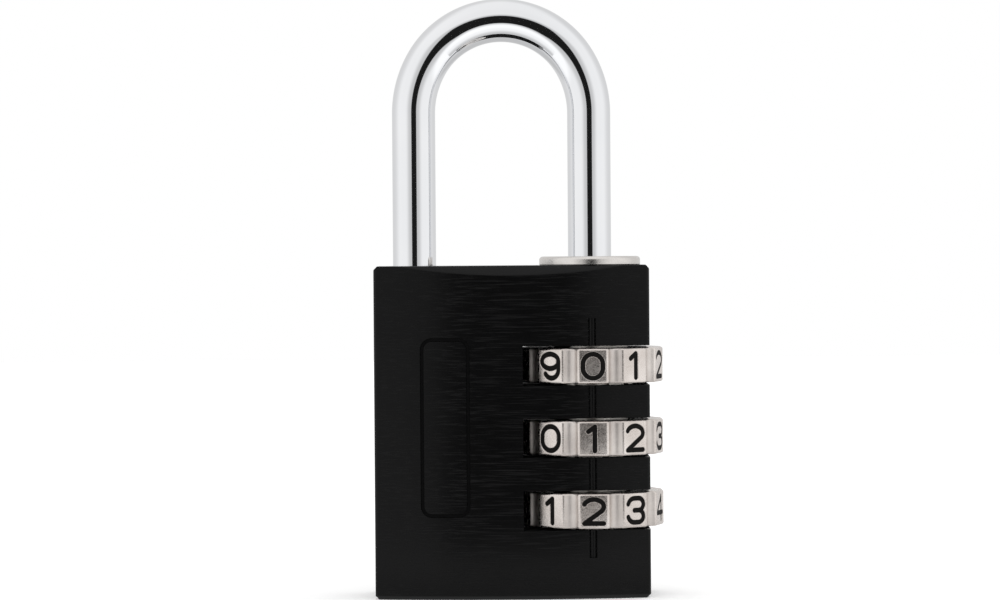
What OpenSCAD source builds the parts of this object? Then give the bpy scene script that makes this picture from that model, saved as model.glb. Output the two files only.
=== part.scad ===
// Side-wheel combination padlock with three number wheels and a code that the owner can change.
//
// The long leg of the shackle is the spindle. Three code sleeves sit round it, one inside each
// number wheel, and each sleeve has a flange with one gate. A lug on the leg waits below each
// flange, so the shackle lifts only while all three gates stand over their lugs. Pushing the
// sleeves down against their spring takes them out of mesh with the wheels, to set a new code.
//
// Frame: +Z is up, +X is to the right of someone who faces the index groove, and -Y points at
// them. The origin is the middle of the body's base. The model is locked, at the code 0-1-2.

/* [Body] */
// Width of the body
body_w = 30; // [28:0.5:40]
// Thickness of the body at its middle
body_d = 13; // [12.6:0.1:16]
// Radius of the bulged front and back faces
face_radius = 76; // [60:1:150]
// Depth of the bevel along the top of the front and back faces
top_bevel = 1.05; // [0.3:0.05:1.3]
// Chamfer along the other edges of the body
edge_chamfer = 0.4; // [0.1:0.05:0.8]
// Distance from the spindle's axis to the right side of the body
axis_to_side = 6.3; // [6:0.1:7.5]
// Distance from the middle of the short leg to the left side of the body
toe_to_side = 4.45; // [4.2:0.05:7]
// Thickness of metal under the spindle bore
base_wall = 2; // [1:0.1:5]

/* [Shackle] */
// Diameter of the shackle's rod
rod_d = 4.75; // [3.8:0.05:5]
// Height of the opening between the body and the top of the bow
clear_h = 24.55; // [18:0.05:60]
// How far the short leg stands in the body when locked
toe_depth = 5.5; // [3:0.1:5.6]
// Gap between the short leg and the body when the shackle is up
toe_lift_gap = 0.7; // [0.2:0.1:1]
// Angle that each shoulder of the bow turns through, before the crown
shoulder_angle = 30; // [20:5:45]
// How much wider than half the leg spacing the shoulders are bent
shoulder_ease = 1.4; // [0.5:0.1:3]
// Diameter of the lugs on the long leg
lug_d = 1.3; // [0.8:0.1:1.5]
// Distance from the spindle's axis to the tip of a lug
lug_reach = 3.35; // [3:0.05:3.4]

/* [Number wheels] */
// Radius of a wheel over its corners
wheel_r = 8; // [7.3:0.05:9.5]
// Height of a wheel
wheel_h = 3.8; // [3.4:0.1:4.4]
// Distance from one wheel to the next
wheel_pitch = 7.85; // [7.6:0.05:12]
// Width of the flat that carries each number
flat_w = 3.2; // [2.8:0.05:3.6]
// Depth of the scallops between the flats
scallop_depth = 0.55; // [0.2:0.05:0.6]
// Gap above and below a wheel in its slot
slot_gap = 0.25; // [0.1:0.05:0.6]
// Gap round a wheel in its slot
slot_side_gap = 1.95; // [0.5:0.05:2.2]
// Height of the numbers
digit_h = 3.1; // [2:0.05:3.2]
// Width of the numbers
digit_w = 2.65; // [1.8:0.05:2.7]
// Width of the numbers' strokes
digit_stroke = 0.5; // [0.25:0.01:0.55]
// Depth of the numbers' engraving
digit_depth = 0.2; // [0.1:0.05:0.3]

/* [Code sleeves] */
// Radius of the bore that the sleeves stand in
bore_r = 4.75; // [4.6:0.05:4.9]
// Radius of the hollow inside a sleeve
hollow_r = 3.5; // [3.45:0.05:3.6]
// Thickness of a sleeve's flange
flange_t = 1.2; // [0.8:0.1:1.5]
// Depth of the grooves and of the relief in a sleeve
groove_depth = 0.58; // [0.3:0.02:0.7]
// How far the sleeves go down to change the code
reset_travel = 1.5; // [1.4:0.1:1.6]
// Height of a wheel's teeth
tooth_h = 1.2; // [0.8:0.1:1.3]
// Height of the sleeves' spring when the lock is at rest
spring_h = 3.2; // [2.6:0.1:5]
// Diameter of the spring's wire
wire_d = 0.6; // [0.4:0.05:0.7]

/* [Collar] */
// Diameter of the collar's flange
collar_d = 11.1; // [10.6:0.1:12]
// Thickness of the collar's flange
collar_t = 0.95; // [0.5:0.05:2]
// Length of the collar in the bore
spigot_h = 2.25; // [1:0.05:10]

/* [Hidden] */
$fn = 72;
face_fn = 480;        // for the bulged faces, whose radius is large

// Clearances, each one a radius or a gap.
run_gap = 0.05;       // a sleeve in the bore, and between one sleeve and the next
wheel_gap = 0.03;     // what a wheel's bore adds to the body's bore
rod_gap = 0.08;       // the rod in the collar and in the flanges
toe_gap = 0.15;       // the short leg in its hole
tooth_gap = 0.08;     // a tooth's sides and tip in its groove
gate_gap = 0.1;       // a lug's sides and tip in a gate
lug_drop = 0.3;       // from a flange down to its lug
stop_gap = 0.1;       // from the raised top lug to the collar
relief_gap = 0.1;     // above and below a tooth in the relief of a lowered sleeve
cut = 1;              // how far a cutting solid runs past the surface that it cuts

// Fixed details.
wheels = 3;
places = 10;                  // numbers on a wheel
step = 360 / places;
shown = [0, 1, 2];            // the numbers at the index groove, from the top wheel down
teeth = 5;                    // on each wheel
tooth_w = 0.75;
washer_t = 0.5;
washer_hole_r = 2.9;
wheel_chamfer = 0.15;
scallop_r = 0.9;
rod_chamfer = 0.5;
collar_round = 0.4;
toe_floor_gap = 0.4;          // under the short leg
toe_mouth = 0.3;              // chamfer round the short leg's hole
lug_root = 0.5;               // from the spindle's axis to a lug pin's inner end
rod_end_gap = 1.6;            // from the bore's floor to the long leg
fill_drop = 0.05;             // how far the paint lies below the wheel's flat
spring_turns = 2.25;
spring_r = 4.05;
strip_t = 0.25;               // detent strip
strip_w = 1.2;
strip_bite = 0.2;             // how far a crest reaches into the wheel's outline
strip_ramp = 1.8;             // half the height of a crest
strip_bore_r = 1.5;
strip_wall_gap = 0.3;         // from its bore's wall to the middle of the strip's back
strip_top_gap = 1;            // from the strip's end up to the end of its bore
plug_h = 1.2;
plug_sink = 0.1;
index_r = 0.42;               // index groove
index_over = 3;               // how far it runs past the outer slots
panel_w = 5.3;                // plain engraved border
panel_h = 19.4;
panel_round = 1.2;
panel_line = 0.3;
panel_depth = 0.15;
panel_to_side = 7.7;          // from the border's middle to the left side of the body
panel_up = 1.2;               // from the middle wheel up to the border's middle

// Heights in the spindle bore, from the base upwards.
rod_r = rod_d / 2;
sleeve_z = base_wall + spring_h + washer_t;
sleeve_h = wheel_pitch - run_gap;
function sleeve_base(i) = sleeve_z + (wheels - i) * wheel_pitch;
function wheel_z(i) = sleeve_base(i) + wheel_pitch / 2;
function flange_base(i) = sleeve_base(i) + sleeve_h - flange_t;
function lug_z(i) = flange_base(i) - lug_drop - lug_d / 2;
lift = toe_depth + toe_lift_gap;
stack_top = sleeve_base(1) + sleeve_h;
stop_z = lug_z(1) + lug_d / 2 + lift + stop_gap;
body_h = stop_z + spigot_h;

// Places across the body.
axis_x = body_w / 2 - axis_to_side;
toe_x = toe_to_side - body_w / 2;
slot_h = wheel_h + 2 * slot_gap;
slot_r = wheel_r + slot_side_gap;
function half_depth(x) = body_d / 2 - face_radius + sqrt(face_radius^2 - x^2);
strip_x = axis_x - wheel_r + strip_bite;              // the crests' tips
strip_bore_x = strip_x + strip_t - strip_bore_r;
strip_back = strip_bore_x - sqrt(strip_bore_r^2 - strip_w^2 / 4) + strip_wall_gap;

// The bow: a crown arc between two wider shoulder arcs.
leg_half = (axis_x - toe_x) / 2;
bow_x = (axis_x + toe_x) / 2;
shoulder_r = leg_half + shoulder_ease;
crown_up = shoulder_ease * tan(shoulder_angle);
crown_r = shoulder_r - shoulder_ease / cos(shoulder_angle);
leg_top = body_h + clear_h + rod_r - crown_r - crown_up;

// Wheel flats and sleeve teeth.
flat_r = sqrt(wheel_r^2 - flat_w^2 / 4);
scallop_x = wheel_r - scallop_depth + scallop_r;
sleeve_r = bore_r - run_gap;
groove_r = sleeve_r - groove_depth;
tooth_r = groove_r + tooth_gap;
wheel_bore_r = bore_r + wheel_gap;

module at_axis(z = 0) translate([axis_x, 0, z]) children();

// A straight stroke and a round stroke, both lying on z = 0.
module bar(a, b, w, t) {
    d = b - a;
    translate(a) rotate(atan2(d[1], d[0])) translate([0, -w / 2, 0]) cube([norm(d), w, t]);
    for (p = [a, b]) translate(p) cylinder(d = w, h = t);
}
module arc(c, r, from, to, w, t) {
    translate(c) rotate_extrude(angle = to - from, start = from)
        translate([r - w / 2, 0]) square([w, t]);
    for (a = (to - from >= 360) ? [] : [from, to])
        translate(c + r * [cos(a), sin(a)]) cylinder(d = w, h = t);
}

// A flattened ring: two half circles of radius r joined by straight strokes along x or y.
module link(c, r, dx, dy, w, t) {
    turn = dx > 0 ? -90 : 0;
    arc(c + [dx, dy], r, turn, turn + 180, w, t);
    arc(c - [dx, dy], r, turn + 180, turn + 360, w, t);
    for (s = [-1, 1])
        bar(c + [s * (dx > 0 ? 0 : r) - dx, s * (dx > 0 ? r : 0) - dy],
            c + [s * (dx > 0 ? 0 : r) + dx, s * (dx > 0 ? r : 0) + dy], w, t);
}

// An oval of half sizes rx and ry is made of four arcs: two of radius r at its sides, which each
// turn through twice this angle, and two of this larger radius between them.
function oval_big(rx, ry, r) = ((rx - r)^2 + ry^2 - r^2) / (2 * (ry - r));
function oval_lean(rx, ry, r) = atan2(oval_big(rx, ry, r) - ry, rx - r);

// Part of an oval's half above its middle c, or below it with side = -1: the stretch from `left`
// degrees over the top to the side arc at `right` degrees.
module hood(c, rx, ry, left, right, side, w, t) {
    r = 0.8 * ry;
    big = oval_big(rx, ry, r);
    lean = oval_lean(rx, ry, r);
    for (a = [[c - [rx - r, 0], r, 180 - lean, left],
              [c - [0, side * (big - ry)], big, lean, 180 - lean],
              [c + [rx - r, 0], r, right, lean]])
        arc(a[0], a[1], min(side * a[2], side * a[3]), max(side * a[2], side * a[3]), w, t);
}

// A number of the digit height and width, centred on the origin, t thick.
module digit(n, t) {
    w = digit_stroke;
    x = (digit_w - w) / 2;
    y = (digit_h - w) / 2;
    hook = 0.7 * y;
    bowl = min(0.6 * y, 0.95 * x);
    if (n == 0) link([0, 0], x, 0, y - x, w, t);
    if (n == 1) {
        bar([0.15 * x, -y], [0.15 * x, y], w, t);
        bar([0.15 * x, y], [-0.5 * x, 0.6 * y], w, t);
    }
    if (n == 2) {
        c = [0, y - bowl];
        side_r = 0.8 * bowl;
        hood(c, x, bowl, 155, -50, 1, w, t);
        bar(c + [x - side_r * (1 - cos(50)), -side_r * sin(50)], [-0.95 * x, -y], w, t);
        bar([-0.95 * x, -y], [x, -y], w, t);
    }
    if (n == 3) for (s = [-1, 1]) {
        arc([x - y / 2, s * y / 2], y / 2, -90, 90, w, t);
        bar([-0.15 * x, s * y], [x - y / 2, s * y], w, t);
        arc([-0.15 * x, s * (y - hook)], hook, s > 0 ? 90 : -160, s > 0 ? 160 : -90, w, t);
        bar([-0.15 * x, 0], [x - y / 2, 0], w, t);
    }
    if (n == 4) {
        bar([0.45 * x, -y], [0.45 * x, y], w, t);
        bar([0.45 * x, y], [-x, -0.4 * y], w, t);
        bar([-x, -0.4 * y], [x, -0.4 * y], w, t);
    }
    if (n == 5) {
        bar([-0.75 * x, y], [0.85 * x, y], w, t);
        bar([-0.75 * x, y], [-0.85 * x, 0.1 * y], w, t);
        arc([0, hook - y], hook, -150, 145, w, t);
    }
    if (n == 6 || n == 9) rotate(n == 6 ? 180 : 0) {
        for (s = [-1, 1]) hood([0, y - bowl], x, bowl, 180, 0, s, w, t);
        bar([x, y - bowl], [x, hook - y], w, t);
        arc([x - hook, hook - y], hook, -150, 0, w, t);
    }
    if (n == 7) {
        bar([-0.9 * x, y], [0.9 * x, y], w, t);
        bar([0.9 * x, y], [-0.25 * x, -y], w, t);
    }
    if (n == 8) {
        link([0, 0.54 * y], 0.46 * y, 0.85 * x - 0.46 * y, 0, w, t);
        link([0, -0.46 * y], 0.54 * y, x - 0.54 * y, 0, w, t);
    }
}

// All the numbers of wheel i, from `low` to `high` above the flats.
module digits(i, low, high)
    at_axis(wheel_z(i)) for (n = [0 : places - 1])
        rotate((n - shown[i - 1]) * step) translate([0, -flat_r, 0]) rotate([90, 0, 0])
            translate([0, 0, low]) digit(n, high - low);

module rounded_panel(w, h, r) {
    square([w - 2 * r, h], center = true);
    square([w, h - 2 * r], center = true);
    for (x = [-1, 1], y = [-1, 1]) translate([x * (w / 2 - r), y * (h / 2 - r)]) circle(r);
}

// A disc as tall as the body whose rim is one bulged face, chamfered at the base.
module bulge(side) translate([0, side * (face_radius - body_d / 2), 0]) {
    cylinder(h = edge_chamfer, r1 = face_radius - edge_chamfer, r2 = face_radius, $fn = face_fn);
    translate([0, 0, edge_chamfer])
        cylinder(h = body_h - edge_chamfer, r = face_radius, $fn = face_fn);
}

// Everything beyond a plane through (x, z) that faces +X and leans by an angle, which is
// negative for a bevel at the top and positive for one at the base.
module bevel_cut(x, z, lean) translate([x, 0, z]) rotate([0, lean, 0])
    translate([0, -body_w, -body_w]) cube([body_w, 2 * body_w, 2 * body_w]);

module body_block() {
    side_sum = body_w / 2 + half_depth(body_w / 2) - edge_chamfer / 2;
    difference() {
        intersection() {
            translate([-body_w / 2, -body_d, 0]) cube([body_w, 2 * body_d, body_h]);
            bulge(1);
            bulge(-1);
            rotate(45) cube([side_sum * sqrt(2), side_sum * sqrt(2), 3 * body_h], center = true);
        }
        for (side = [0, 180]) rotate(side) {
            bevel_cut(body_w / 2 - edge_chamfer, body_h, -45);
            bevel_cut(body_w / 2 - edge_chamfer, 0, 45);
            translate([0, 0, body_h]) rotate(90)
                bevel_cut(body_d / 2 - top_bevel, 0, -45);
        }
    }
}

module index_groove() {
    top = wheel_z(1) + slot_h / 2 + index_over;
    low = wheel_z(wheels) - slot_h / 2 - index_over;
    translate([axis_x, -half_depth(axis_x), low]) cylinder(h = top - low, r = index_r);
}

module panel_border() difference() {
    translate([panel_to_side - body_w / 2, 0, wheel_z(2) + panel_up]) rotate([90, 0, 0])
        linear_extrude(body_d) difference() {
            rounded_panel(panel_w, panel_h, panel_round);
            rounded_panel(panel_w - 2 * panel_line, panel_h - 2 * panel_line,
                          panel_round - panel_line);
        }
    translate([0, face_radius - body_d / 2, -cut])
        cylinder(h = body_h + 2 * cut, r = face_radius - panel_depth, $fn = face_fn);
}

module lock_body() color([0.06, 0.06, 0.065]) difference() {
    body_block();
    at_axis(base_wall) cylinder(h = body_h, r = bore_r);
    for (i = [1 : wheels]) at_axis(wheel_z(i) - slot_h / 2) cylinder(h = slot_h, r = slot_r);
    translate([toe_x, 0, body_h - toe_depth - toe_floor_gap])
        cylinder(h = body_h, r = rod_r + toe_gap);
    translate([toe_x, 0, body_h - toe_mouth])
        cylinder(h = toe_mouth, r1 = rod_r + toe_gap, r2 = rod_r + toe_gap + toe_mouth);
    translate([strip_bore_x, 0, -cut]) cylinder(h = cut + stack_top, r = strip_bore_r);
    index_groove();
    panel_border();
}

module detent_bore_plug() color("gray")
    translate([strip_bore_x, 0, plug_sink]) cylinder(h = plug_h, r = strip_bore_r);

// The line at distance d beside a path, with mitred corners.
function normal(a, b) = [a[1] - b[1], b[0] - a[0]] / norm(b - a);
function beside(path, d) = let (last = len(path) - 1) [for (k = [0 : last])
    let (in = normal(path[max(k - 1, 0)], path[max(k, 1)]),
         out = normal(path[min(k, last - 1)], path[min(k + 1, last)]))
    path[k] + d * (in + out) / (1 + in * out)];

// One strip the length of its bore, with a crest at each wheel.
module detent_spring() color("silver") {
    crests = [for (i = [wheels : -1 : 1], s = [-1, 0, 1])
        [s == 0 ? strip_x - strip_t : strip_back, wheel_z(i) + s * strip_ramp]];
    path = concat([[strip_back, plug_sink + plug_h]], crests, [[strip_back, stack_top - strip_top_gap]]);
    back = beside(path, -strip_t / 2);
    translate([0, strip_w / 2, 0]) rotate([90, 0, 0]) linear_extrude(strip_w)
        polygon(concat(beside(path, strip_t / 2), [for (k = [len(back) - 1 : -1 : 0]) back[k]]));
}

module spindle_collar() color([0.75, 0.74, 0.72]) at_axis() difference() {
    union() {
        translate([0, 0, stop_z]) cylinder(h = spigot_h + collar_t / 2, r = bore_r);
        translate([0, 0, body_h]) rotate_extrude() {
            square([collar_d / 2, collar_t - collar_round]);
            square([collar_d / 2 - collar_round, collar_t]);
            translate([collar_d / 2 - collar_round, collar_t - collar_round]) circle(collar_round);
        }
    }
    translate([0, 0, stop_z - cut])
        cylinder(h = spigot_h + collar_t + 2 * cut, r = rod_r + rod_gap);
}

module spacer_tube() color("goldenrod") at_axis(stack_top + run_gap) difference() {
    cylinder(h = stop_z - stack_top - run_gap, r = bore_r);
    translate([0, 0, -cut]) cylinder(h = stop_z, r = hollow_r);
}

// A straight leg from z = low up to the bow, with a chamfered end.
module leg(x, low) translate([x, 0, low]) {
    cylinder(h = rod_chamfer, r1 = rod_r - rod_chamfer, r2 = rod_r);
    translate([0, 0, rod_chamfer]) cylinder(h = leg_top - low - rod_chamfer, r = rod_r);
}

// Part of the bow, from one angle to another, round a centre at x.
module bow_arc(x, r, from, to) translate([x, 0, 0]) rotate([90, 0, 0])
    rotate_extrude(angle = to - from, start = from) translate([r, 0]) circle(rod_r);

module bow() translate([bow_x, 0, leg_top]) {
    bow_arc(-shoulder_ease, shoulder_r, 0, shoulder_angle);
    translate([0, 0, crown_up]) bow_arc(0, crown_r, shoulder_angle, 180 - shoulder_angle);
    bow_arc(shoulder_ease, shoulder_r, 180 - shoulder_angle, 180);
}

module lug_shape(i) at_axis(lug_z(i)) translate([lug_root, 0, 0]) rotate([0, 90, 0])
    cylinder(h = lug_reach - lug_root, d = lug_d);

module shackle() color([0.86, 0.87, 0.88]) difference() {
    union() {
        leg(axis_x, base_wall + rod_end_gap);
        leg(toe_x, body_h - toe_depth);
        bow();
    }
    for (i = [1 : wheels]) lug_shape(i);
}

module lug_pin(i) color("dimgray") lug_shape(i);

module wheel_outline() difference() {
    intersection() {
        circle(wheel_r);
        circle(flat_r / cos(step / 2), $fn = places);
    }
    for (k = [0 : places - 1]) rotate(k * step) translate([scallop_x, 0]) circle(scallop_r);
}

module number_wheel(i) color([0.78, 0.75, 0.71]) difference() {
    at_axis(wheel_z(i)) {
        difference() {
            intersection() {
                translate([0, 0, -wheel_h / 2]) linear_extrude(wheel_h) wheel_outline();
                rotate_extrude() polygon([
                    [0, -wheel_h / 2], [wheel_r - wheel_chamfer, -wheel_h / 2],
                    [wheel_r, wheel_chamfer - wheel_h / 2], [wheel_r, wheel_h / 2 - wheel_chamfer],
                    [wheel_r - wheel_chamfer, wheel_h / 2], [0, wheel_h / 2]]);
            }
            cylinder(h = wheel_h + 2 * cut, r = wheel_bore_r, center = true);
        }
        intersection() {
            for (k = [0 : teeth - 1]) rotate(k * 360 / teeth)
                translate([0, -tooth_w / 2, -tooth_h / 2]) cube([wheel_r, tooth_w, tooth_h]);
            difference() {
                cylinder(h = tooth_h, r = (wheel_bore_r + flat_r) / 2, center = true);
                cylinder(h = tooth_h + 2 * cut, r = tooth_r, center = true);
            }
        }
    }
    digits(i, -digit_depth, cut);
}

module digit_fill(i) color([0.03, 0.03, 0.03]) digits(i, -digit_depth, -fill_drop);

module code_sleeve(i) color([0.72, 0.58, 0.3]) at_axis(sleeve_base(i)) {
    mesh_z = wheel_pitch / 2;
    relief_low = mesh_z + tooth_h / 2 + reset_travel - tooth_h - relief_gap;
    relief_high = mesh_z + tooth_h / 2 + reset_travel + relief_gap;
    groove_w = tooth_w + 2 * tooth_gap;
    difference() {
        cylinder(h = sleeve_h, r = sleeve_r);
        translate([0, 0, -cut]) cylinder(h = cut + sleeve_h - flange_t, r = hollow_r);
        cylinder(h = sleeve_h + cut, r = rod_r + rod_gap);
        translate([0, -lug_d / 2 - gate_gap, 0])
            cube([lug_reach + gate_gap, lug_d + 2 * gate_gap, sleeve_h + cut]);
        difference() {
            union() {
                for (k = [0 : places - 1]) rotate(k * step)
                    translate([0, -groove_w / 2, -cut]) cube([bore_r, groove_w, sleeve_h + 2 * cut]);
                translate([0, 0, relief_low])
                    cylinder(h = relief_high - relief_low, r = bore_r + cut);
            }
            translate([0, 0, -2 * cut]) cylinder(h = sleeve_h + 4 * cut, r = groove_r);
        }
    }
}

module thrust_washer() color("silver") at_axis(sleeve_z - washer_t) difference() {
    cylinder(h = washer_t, r = sleeve_r);
    translate([0, 0, -cut]) cylinder(h = washer_t + 2 * cut, r = washer_hole_r);
}

// A coil of round wire, swept ring by ring.
module sleeve_spring() color("silver") at_axis(base_wall) {
    sides = 10;
    rings = 64;
    rise = spring_h - wire_d;
    points = [for (k = [0 : rings]) let (turn = 360 * spring_turns * k / rings)
        for (j = [0 : sides - 1]) let (a = 360 * j / sides, r = spring_r + wire_d / 2 * cos(a))
            [r * cos(turn), r * sin(turn), wire_d / 2 * (1 + sin(a)) + rise * k / rings]];
    walls = [for (k = [0 : rings - 1], j = [0 : sides - 1]) let (m = (j + 1) % sides)
        [k * sides + j, k * sides + m, (k + 1) * sides + m, (k + 1) * sides + j]];
    start = [for (j = [sides - 1 : -1 : 0]) j];
    end = [for (j = [0 : sides - 1]) rings * sides + j];
    polyhedron(points, concat(walls, [start, end]));
}

lock_body();
detent_bore_plug();
detent_spring();
spindle_collar();
spacer_tube();
shackle();
lug_pin(1);  // lug_pin_1
lug_pin(2);  // lug_pin_2
lug_pin(3);  // lug_pin_3
number_wheel(1);  // number_wheel_1
number_wheel(2);  // number_wheel_2
number_wheel(3);  // number_wheel_3
digit_fill(1);  // digit_fill_1
digit_fill(2);  // digit_fill_2
digit_fill(3);  // digit_fill_3
code_sleeve(1);  // code_sleeve_1
code_sleeve(2);  // code_sleeve_2
code_sleeve(3);  // code_sleeve_3
thrust_washer();
sleeve_spring();
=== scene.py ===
"""Looks of a side-wheel combination padlock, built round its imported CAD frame.

Pieces are drawn in millimetres in the frame's own coordinates, and stored in metres.
"""
import math

import bmesh
import bpy
from mathutils import Matrix, Vector

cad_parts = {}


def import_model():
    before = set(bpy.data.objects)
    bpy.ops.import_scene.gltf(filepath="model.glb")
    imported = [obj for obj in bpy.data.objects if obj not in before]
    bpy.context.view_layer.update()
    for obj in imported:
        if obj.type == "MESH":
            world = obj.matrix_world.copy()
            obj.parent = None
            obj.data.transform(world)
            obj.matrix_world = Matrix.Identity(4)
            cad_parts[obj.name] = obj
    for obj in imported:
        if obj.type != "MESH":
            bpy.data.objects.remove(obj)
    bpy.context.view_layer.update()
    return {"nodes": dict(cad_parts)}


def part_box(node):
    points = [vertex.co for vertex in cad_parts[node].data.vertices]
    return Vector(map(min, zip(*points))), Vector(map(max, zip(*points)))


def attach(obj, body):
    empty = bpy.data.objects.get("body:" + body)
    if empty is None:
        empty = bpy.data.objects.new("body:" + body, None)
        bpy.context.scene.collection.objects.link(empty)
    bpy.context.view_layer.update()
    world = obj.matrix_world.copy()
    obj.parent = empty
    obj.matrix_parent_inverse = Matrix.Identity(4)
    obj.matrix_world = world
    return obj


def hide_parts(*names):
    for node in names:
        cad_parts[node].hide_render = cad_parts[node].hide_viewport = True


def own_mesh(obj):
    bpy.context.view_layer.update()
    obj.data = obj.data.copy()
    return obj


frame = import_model()

MM = 0.001


# ---------------------------------------------------------------- sizes

def box_mm(node):
    low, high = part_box(node)
    return Vector(low) / MM, Vector(high) / MM


BODY_HIGH = box_mm("lock_body")[1]
BODY_X = BODY_HIGH.x
BODY_Y = BODY_HIGH.y
BODY_H = BODY_HIGH.z
FACE_R = 76.0                  # bulge of the front and back faces
TOP_BEVEL = 1.05
EDGE_CHAMFER = 0.4
AXIS_X = 8.7                   # the long leg, which the wheels turn about
BASE_WALL = 2.0
BORE_R = 4.75
MOUTH = 0.3                    # chamfer at the mouth of the short leg's hole
PLUG_MOUTH = 0.1
SLIVER = 0.07                  # the least width of a face beside a bevel
RIM_INSET = 0.3                # support ring inside the edge of the top and the base
BORDER_X, BORDER_Z = -7.3, 18.675
BORDER_HALF_W, BORDER_HALF_H = 2.5, 9.55
BORDER_CORNER_R = 1.05

ROD_LOW, ROD_HIGH = box_mm("shackle")
ROD_R = ROD_HIGH.y
TOE_X = ROD_LOW.x + ROD_R
TOE_Z = 30.75                  # lower end of the short leg
TOE_HOLE_R = ROD_R + 0.15
TOE_FLOOR = 30.35
ROD_CHAMFER = 0.5
SHOULDER_ANGLE = 30            # degrees of each leg's wider arc beside the crown
SHOULDER_EASE = 1.4

COLLAR_LOW, COLLAR_HIGH = box_mm("spindle_collar")
COLLAR_R = COLLAR_HIGH.y
COLLAR_ROUND = 0.4
COLLAR_CHAMFER = 0.2
COLLAR_LIP = 0.16
COLLAR_HOLE_R = ROD_R + 0.08

WHEEL_IDS = (1, 2, 3)
SHOWN = {1: 0, 2: 1, 3: 2}     # the number at the index groove of each wheel
PLACES = 10
STEP = 2 * math.pi / PLACES
WHEEL_R = 8.0                  # over the corners of the flats
FLAT_HALF = 1.6
FLAT_R = math.sqrt(WHEEL_R ** 2 - FLAT_HALF ** 2)
SCALLOP_R = 0.9
SCALLOP_DEPTH = 0.55
SCALLOP_AT = WHEEL_R - SCALLOP_DEPTH + SCALLOP_R
SCALLOP_EASE = 0.2             # rounding between a flat and a scallop
CAST_HALF = math.radians(5.8)  # half the angle of a scallop's cast finish
WHEEL_BORE_R = 4.78
WHEEL_FLARE = 0.15
WHEEL_ROUND = 0.25
TEETH = 5
TOOTH_TIP_R = 4.2
TOOTH_ROOT_R = 5.2
TOOTH_W = 0.75
TOOTH_H = 1.2
SLOT_SIDE_GAP = 1.95
SLOT_R = WHEEL_R + SLOT_SIDE_GAP
SLOT_GAP = 0.25
DIGIT_W = 2.65
DIGIT_H = 3.1
STROKE = 0.5
INDEX_R = 0.42
INDEX_OVER = 3.0               # the index groove's reach beyond the outer slots
DETENT_BORE_X = -0.35
DETENT_BORE_R = 1.5
DETENT_BORE_TOP = 29.2
SPRING_WIRE_R = 0.3
SPRING_COIL_R = 4.05
SPRING_TURNS = 2.25

# Height above the surface and half width of a groove, from above its mouth to its floor
BORDER_LEVELS = ((0.4, 0.2), (0.0, 0.2), (-0.03, 0.18), (-0.15, 0.15))
STROKE_HALF = STROKE / 2
DIGIT_LEVELS = ((0.3, STROKE_HALF + 0.05), (0.0, STROKE_HALF + 0.05),
                (-0.015, STROKE_HALF + 0.025), (-0.05, STROKE_HALF), (-0.2, STROKE_HALF - 0.03))
PAINT_LEVELS = ((-0.05, STROKE_HALF - 0.005), (-0.06, STROKE_HALF + 0.004),
                (-0.2, STROKE_HALF - 0.03))


def wheel_box(i):
    """The lower and upper height of a wheel."""
    low, high = box_mm(f"number_wheel_{i}")
    return low.z, high.z


def half_depth(x):
    """Half the thickness of the bulged body at x."""
    return BODY_Y - FACE_R + math.sqrt(FACE_R ** 2 - x ** 2)


# ---------------------------------------------------------------- mesh helpers

MANY_CORNERS = 60              # a face with more of them is filled again
SAME_POINT = 1e-3


def radial(angle):
    """The outward and the sideways direction at an angle round an upright axis."""
    return (Vector((math.cos(angle), math.sin(angle), 0)),
            Vector((-math.sin(angle), math.cos(angle), 0)))


def bend(start, tip, end, t):
    """The point at t on the curve that rounds a corner."""
    return start * (1 - t) ** 2 + tip * 2 * t * (1 - t) + end * t ** 2


def spread(turn, count):
    """As many equal steps of a turn, without its end."""
    return [turn * k / count for k in range(count)]


def to_object(name, bm):
    """Links a mesh drawn in millimetres as an object in metres."""
    bmesh.ops.recalc_face_normals(bm, faces=bm.faces)
    bm.transform(Matrix.Scale(MM, 4))
    mesh = bpy.data.meshes.new(name)
    bm.to_mesh(mesh)
    bm.free()
    obj = bpy.data.objects.new(name, mesh)
    bpy.context.scene.collection.objects.link(obj)
    return obj


def smooth(obj, degrees=32):
    for polygon in obj.data.polygons:
        polygon.use_smooth = True
    obj.data.set_sharp_from_angle(angle=math.radians(degrees))


def apply_modifiers(obj):
    """Gives the object the mesh that its modifiers make."""
    depsgraph = bpy.context.evaluated_depsgraph_get()
    mesh = bpy.data.meshes.new_from_object(obj.evaluated_get(depsgraph))
    old = obj.data
    obj.modifiers.clear()
    obj.data = mesh
    bpy.data.meshes.remove(old)


def boolean(obj, cutter, operation="DIFFERENCE"):
    """Applies one boolean and removes the other object."""
    modifier = obj.modifiers.new("boolean", "BOOLEAN")
    modifier.operation = operation
    modifier.solver = "MANIFOLD"
    modifier.object = cutter
    apply_modifiers(obj)
    bpy.data.objects.remove(cutter)


def face_out(obj):
    """Fills large faces with triangles, and turns an inside-out mesh the right way round."""
    bm = bmesh.new()
    bm.from_mesh(obj.data)
    for face in [face for face in bm.faces if len(face.verts) > MANY_CORNERS]:
        rim = list(face.edges)
        bmesh.ops.delete(bm, geom=[face], context="FACES_ONLY")
        seams = [edge for edge in rim if edge.is_wire]
        rim = [edge for edge in rim if edge.is_boundary]
        bmesh.ops.delete(bm, geom=seams, context="EDGES")
        bmesh.ops.triangle_fill(bm, edges=rim, use_beauty=True)
    bmesh.ops.triangulate(bm, faces=[face for face in bm.faces if len(face.verts) > 4])
    bmesh.ops.recalc_face_normals(bm, faces=bm.faces)
    if bm.calc_volume(signed=True) < 0:
        bmesh.ops.reverse_faces(bm, faces=bm.faces)
    bm.to_mesh(obj.data)
    bm.free()


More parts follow.
